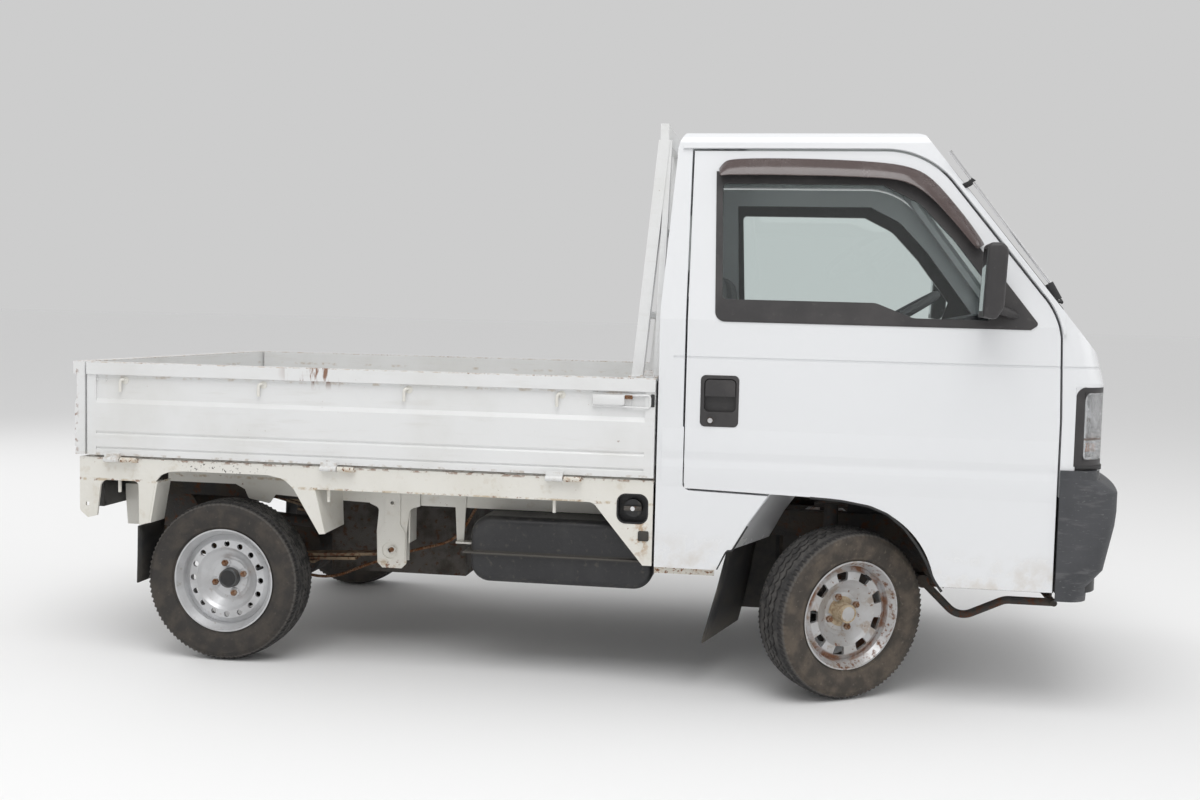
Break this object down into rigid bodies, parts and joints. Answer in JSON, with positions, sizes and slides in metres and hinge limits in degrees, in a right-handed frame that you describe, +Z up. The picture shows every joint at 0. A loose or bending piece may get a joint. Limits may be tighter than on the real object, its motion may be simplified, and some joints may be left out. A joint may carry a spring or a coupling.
{
  "type": "kei truck",
  "caption": "Small cab-over pickup truck with a drop-side bed, two doors, steered front wheels and a leaf-sprung rear axle.",
  "frame": {"origin": "on the ground under the middle of the truck", "axes": "+X forward, +Y to the left, +Z up"},
  "size_m": [3.2549, 1.664, 1.712],
  "materials": {
    "cab_paint": "satin",
    "bed_paint": "satin",
    "beam_paint": "satin",
    "frame_paint": "satin",
    "black_steel": "satin",
    "bumper_plastic": "matt",
    "trim_plastic": "matt",
    "dash_plastic": "matt",
    "seat_cloth": "matt",
    "glass": "gloss",
    "lamp_clear": "gloss",
    "lamp_red": "gloss",
    "tyre_rubber": "matt",
    "wheel_steel": "satin",
    "flap_rubber": "matt",
    "cast_metal": "rough"
  },
  "bodies": {
    "chassis": {"frame_rails": "frame_paint", "crossmembers": "frame_paint", "cab_floor": "cab_paint", "cab_back_wall": "cab_paint", "cab_roof": "cab_paint", "cab_right_side": "cab_paint", "cab_left_side": "cab_paint", "nose_panel": "cab_paint", "windscreen": "glass", "rear_window": "glass", "dashboard": "dash_plastic", "seats": "seat_cloth", "steering_column": "dash_plastic", "front_bumper": "bumper_plastic", "headlamps": "lamp_clear", "lamp_bezels": "trim_plastic", "tail_lamps": "lamp_red", "bed_deck": "bed_paint", "deck_bearers": "beam_paint", "side_beams": "beam_paint", "rear_beam": "beam_paint", "fuel_filler": "black_steel", "gate_hinges": "beam_paint", "headboard": "bed_paint", "guard_frame": "bed_paint", "fuel_tank": "black_steel", "engine": "cast_metal", "exhaust": "frame_paint", "rear_axle": "frame_paint", "leaf_springs": "frame_paint", "spring_hangers": "beam_paint", "front_arms": "frame_paint", "stabiliser_bar": "frame_paint", "steering_rack": "cast_metal", "mud_flaps": "flap_rubber", "spare_wheel": "tyre_rubber"},
    "right_door": {"right_door": "cab_paint", "right_window_trim": "trim_plastic", "right_door_glass": "glass", "right_mirror": "trim_plastic", "right_door_handle": "trim_plastic"},
    "right_gate": {"right_gate": "bed_paint"},
    "right_knuckle": {"right_knuckle": "frame_paint"},
    "front_right_wheel": {"front_right_tyre": "tyre_rubber", "front_right_rim": "wheel_steel"},
    "rear_right_wheel": {"rear_right_tyre": "tyre_rubber", "rear_right_rim": "wheel_steel"},
    "left_door": {"left_door": "cab_paint", "left_window_trim": "trim_plastic", "left_door_glass": "glass", "left_mirror": "trim_plastic", "left_door_handle": "trim_plastic"},
    "left_gate": {"left_gate": "bed_paint"},
    "left_knuckle": {"left_knuckle": "frame_paint"},
    "front_left_wheel": {"front_left_tyre": "tyre_rubber", "front_left_rim": "wheel_steel"},
    "rear_left_wheel": {"rear_left_tyre": "tyre_rubber", "rear_left_rim": "wheel_steel"},
    "tailgate": {"tailgate": "bed_paint"},
    "steering_wheel": {"steering_wheel": "dash_plastic"}
  },
  "joints": [
    {"name": "right_steer", "type": "hinge", "parent": "chassis", "child": "right_knuckle", "pos_m": [0.7675, -0.56, 0.185], "axis": [0, 0.2777, 0.9607], "range_deg": [-70, 0]},
    {"name": "left_steer", "type": "hinge", "parent": "chassis", "child": "left_knuckle", "pos_m": [0.7675, 0.56, 0.185], "axis": [0, -0.2777, 0.9607], "range_deg": [-70, 0]},
    {"name": "steering_wheel_turn", "type": "hinge", "parent": "chassis", "child": "steering_wheel", "pos_m": [0.909, -0.33, 1.117], "axis": [-0.5156, 0, 0.8569], "range_deg": [-1260, 0]},
    {"name": "front_right_roll", "type": "hinge", "parent": "right_knuckle", "child": "front_right_wheel", "pos_m": [0.80308, -0.59172, 0.25822], "axis": [-0.551, 0.8331, 0.0483], "continuous": true},
    {"name": "front_left_roll", "type": "hinge", "parent": "left_knuckle", "child": "front_left_wheel", "pos_m": [0.73192, 0.59172, 0.25822], "axis": [-0.551, 0.8331, -0.0483], "continuous": true},
    {"name": "rear_right_roll", "type": "hinge", "parent": "chassis", "child": "rear_right_wheel", "pos_m": [-1.1325, -0.6025, 0.256], "axis": [0, 1, 0], "continuous": true},
    {"name": "rear_left_roll", "type": "hinge", "parent": "chassis", "child": "rear_left_wheel", "pos_m": [-1.1325, 0.6025, 0.256], "axis": [0, 1, 0], "continuous": true},
    {"name": "right_door_hinge", "type": "hinge", "parent": "chassis", "child": "right_door", "pos_m": [1.364, -0.684, 0.8], "axis": [0, 0, 1], "range_deg": [0, 65]},
    {"name": "left_door_hinge", "type": "hinge", "parent": "chassis", "child": "left_door", "pos_m": [1.364, 0.684, 0.8], "axis": [0, 0, -1], "range_deg": [0, 65]},
    {"name": "right_gate_hinge", "type": "hinge", "parent": "chassis", "child": "right_gate", "pos_m": [-0.668, -0.706, 0.634], "axis": [1, 0, 0], "range_deg": [0, 175]},
    {"name": "left_gate_hinge", "type": "hinge", "parent": "chassis", "child": "left_gate", "pos_m": [-0.668, 0.706, 0.634], "axis": [-1, 0, 0], "range_deg": [0, 175]},
    {"name": "tailgate_hinge", "type": "hinge", "parent": "chassis", "child": "tailgate", "pos_m": [-1.6205, 0, 0.634], "axis": [0, -1, 0], "range_deg": [0, 175]}
  ],
  "couplings": [
    {"joint": "left_steer", "follows": "right_steer", "ratio": 1},
    {"joint": "steering_wheel_turn", "follows": "right_steer", "ratio": 18}
  ]
}
